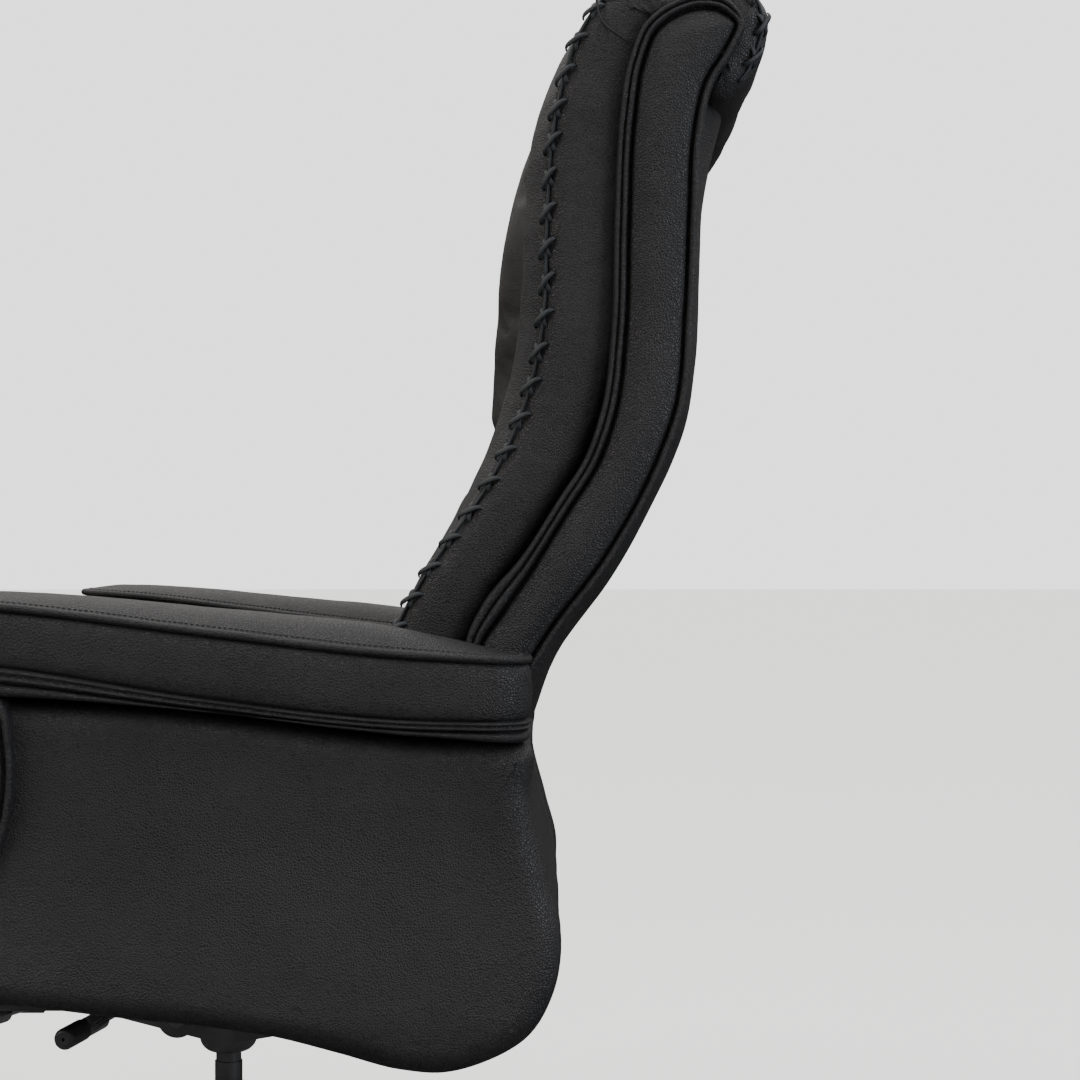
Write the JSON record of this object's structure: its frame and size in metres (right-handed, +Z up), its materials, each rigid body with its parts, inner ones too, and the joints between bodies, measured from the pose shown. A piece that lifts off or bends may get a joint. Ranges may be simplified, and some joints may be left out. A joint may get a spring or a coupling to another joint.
{
  "type": "executive office chair with headrest",
  "caption": "High-back padded office chair with a rolled headrest, closed arms, tilt mechanism, gas lift and a star base on casters.",
  "frame": {"origin": "on the floor, on the gas lift's axis", "axes": "+Z up, the chair faces -Y, the sitter's left is +X"},
  "size_m": [0.724, 0.852, 1.308],
  "materials": {
    "leather": "satin",
    "plywood": "matte",
    "black_steel": "satin",
    "bright_steel": "satin",
    "chrome": "polished",
    "black_plastic": "satin",
    "wheel_plastic": "matte"
  },
  "bodies": {
    "base": {"star_base": "black_plastic", "lift_outer_tube": "black_steel", "lift_guide_bush": "black_plastic", "lift_bearing": "bright_steel"},
    "piston": {"lift_piston_rod": "bright_steel"},
    "chassis": {"lift_cylinder": "black_steel", "mech_housing": "black_steel", "tilt_shaft": "bright_steel", "tilt_springs": "bright_steel"},
    "valve": {"valve_pin": "bright_steel"},
    "height_lever": {"height_lever_rod": "chrome", "height_lever_grip": "black_plastic"},
    "lock_lever": {"lock_lever_rod": "chrome", "lock_lever_grip": "black_plastic"},
    "tension_adjuster": {"tension_screw": "bright_steel", "tension_knob": "black_plastic"},
    "tension_nut": {"tension_nut": "bright_steel"},
    "seat": {"mech_top_plate": "black_steel", "mech_bolts": "bright_steel", "seat_frame": "plywood", "seat_cushion": "leather", "frame_fixings": "black_steel", "back_shell": "plywood", "lower_back_pillow": "leather", "upper_back_pillow": "leather", "outer_back": "leather", "rear_skirt": "leather", "head_roll": "leather", "arm_board_left": "plywood", "arm_board_right": "plywood", "arm_pad_left": "leather", "arm_pad_right": "leather", "side_panel_left": "leather", "side_panel_right": "leather", "arm_front_left": "leather", "arm_front_right": "leather", "back_bolster_left": "leather", "back_bolster_right": "leather", "back_wing_left": "leather", "back_wing_right": "leather"},
    "caster_1_swivel": {"caster_1_housing": "black_plastic", "caster_1_pins": "bright_steel"},
    "caster_1_wheel_a": {"caster_1_wheel_a": "wheel_plastic"},
    "caster_1_wheel_b": {"caster_1_wheel_b": "wheel_plastic"},
    "caster_2_swivel": {"caster_2_housing": "black_plastic", "caster_2_pins": "bright_steel"},
    "caster_2_wheel_a": {"caster_2_wheel_a": "wheel_plastic"},
    "caster_2_wheel_b": {"caster_2_wheel_b": "wheel_plastic"},
    "caster_3_swivel": {"caster_3_housing": "black_plastic", "caster_3_pins": "bright_steel"},
    "caster_3_wheel_a": {"caster_3_wheel_a": "wheel_plastic"},
    "caster_3_wheel_b": {"caster_3_wheel_b": "wheel_plastic"},
    "caster_4_swivel": {"caster_4_housing": "black_plastic", "caster_4_pins": "bright_steel"},
    "caster_4_wheel_a": {"caster_4_wheel_a": "wheel_plastic"},
    "caster_4_wheel_b": {"caster_4_wheel_b": "wheel_plastic"},
    "caster_5_swivel": {"caster_5_housing": "black_plastic", "caster_5_pins": "bright_steel"},
    "caster_5_wheel_a": {"caster_5_wheel_a": "wheel_plastic"},
    "caster_5_wheel_b": {"caster_5_wheel_b": "wheel_plastic"}
  },
  "joints": [
    {"name": "seat_swivel", "type": "hinge", "parent": "base", "child": "piston", "pos_m": [0, 0, 0.06], "axis": [0, 0, 1], "continuous": true},
    {"name": "lift_height", "type": "slide", "parent": "piston", "child": "chassis", "axis": [0, 0, 1], "range_m": [0, 0.08]},
    {"name": "seat_tilt", "type": "hinge", "parent": "chassis", "child": "seat", "pos_m": [0, -0.045, 0.306], "axis": [-1, 0, 0], "range_deg": [0, 14], "stiffness_Nm_per_rad": 140, "springref_deg": -25.78, "deforming": ["tilt_springs"]},
    {"name": "height_lever_pull", "type": "hinge", "parent": "chassis", "child": "height_lever", "pos_m": [0.038, -0.0816, 0.3259], "axis": [0, -1, 0], "range_deg": [0, 4]},
    {"name": "valve_press", "type": "slide", "parent": "chassis", "child": "valve", "axis": [0, 0, -1], "range_m": [0, 0.00266]},
    {"name": "lock_lever_turn", "type": "hinge", "parent": "chassis", "child": "lock_lever", "pos_m": [0.038, -0.166, 0.3271], "axis": [0, 1, 0], "range_deg": [0, 4]},
    {"name": "tension_turn", "type": "hinge", "parent": "chassis", "child": "tension_adjuster", "pos_m": [0, -0.2, 0.322], "axis": [0, -1, 0], "range_deg": [0, 3600]},
    {"name": "tension_nut_travel", "type": "slide", "parent": "chassis", "child": "tension_nut", "axis": [0, -1, 0], "range_m": [0, 0.015]},
    {"name": "caster_1_turn", "type": "hinge", "parent": "base", "child": "caster_1_swivel", "pos_m": [0, -0.3, 0.06], "axis": [0, 0, 1], "continuous": true},
    {"name": "caster_1_roll_a", "type": "hinge", "parent": "caster_1_swivel", "child": "caster_1_wheel_a", "pos_m": [0.02, -0.3, 0.03], "axis": [0, 1, 0], "continuous": true},
    {"name": "caster_1_roll_b", "type": "hinge", "parent": "caster_1_swivel", "child": "caster_1_wheel_b", "pos_m": [0.02, -0.3, 0.03], "axis": [0, 1, 0], "continuous": true},
    {"name": "caster_2_turn", "type": "hinge", "parent": "base", "child": "caster_2_swivel", "pos_m": [0.28532, -0.0927, 0.06], "axis": [0, 0, 1], "continuous": true},
    {"name": "caster_2_roll_a", "type": "hinge", "parent": "caster_2_swivel", "child": "caster_2_wheel_a", "pos_m": [0.27562, -0.07521, 0.03], "axis": [-0.8746, -0.4848, 0], "continuous": true},
    {"name": "caster_2_roll_b", "type": "hinge", "parent": "caster_2_swivel", "child": "caster_2_wheel_b", "pos_m": [0.27562, -0.07521, 0.03], "axis": [-0.8746, -0.4848, 0], "continuous": true},
    {"name": "caster_3_turn", "type": "hinge", "parent": "base", "child": "caster_3_swivel", "pos_m": [0.17634, 0.24271, 0.06], "axis": [0, 0, 1], "continuous": true},
    {"name": "caster_3_roll_a", "type": "hinge", "parent": "caster_3_swivel", "child": "caster_3_wheel_a", "pos_m": [0.16574, 0.22574, 0.03], "axis": [0.848, -0.5299, 0], "continuous": true},
    {"name": "caster_3_roll_b", "type": "hinge", "parent": "caster_3_swivel", "child": "caster_3_wheel_b", "pos_m": [0.16574, 0.22574, 0.03], "axis": [0.848, -0.5299, 0], "continuous": true},
    {"name": "caster_4_turn", "type": "hinge", "parent": "base", "child": "caster_4_swivel", "pos_m": [-0.17634, 0.24271, 0.06], "axis": [0, 0, 1], "continuous": true},
    {"name": "caster_4_roll_a", "type": "hinge", "parent": "caster_4_swivel", "child": "caster_4_wheel_a", "pos_m": [-0.15636, 0.24166, 0.03], "axis": [0.0523, 0.9986, 0], "continuous": true},
    {"name": "caster_4_roll_b", "type": "hinge", "parent": "caster_4_swivel", "child": "caster_4_wheel_b", "pos_m": [-0.15636, 0.24166, 0.03], "axis": [0.0523, 0.9986, 0], "continuous": true},
    {"name": "caster_5_turn", "type": "hinge", "parent": "base", "child": "caster_5_swivel", "pos_m": [-0.28532, -0.0927, 0.06], "axis": [0, 0, 1], "continuous": true},
    {"name": "caster_5_roll_a", "type": "hinge", "parent": "caster_5_swivel", "child": "caster_5_wheel_a", "pos_m": [-0.29408, -0.07473, 0.03], "axis": [-0.8988, -0.4384, 0], "continuous": true},
    {"name": "caster_5_roll_b", "type": "hinge", "parent": "caster_5_swivel", "child": "caster_5_wheel_b", "pos_m": [-0.29408, -0.07473, 0.03], "axis": [-0.8988, -0.4384, 0], "continuous": true}
  ],
  "couplings": [
    {"joint": "valve_press", "follows": "height_lever_pull", "m_per_rad": 0.038},
    {"joint": "tension_nut_travel", "follows": "tension_turn", "m_per_rad": 0.0002387}
  ]
}
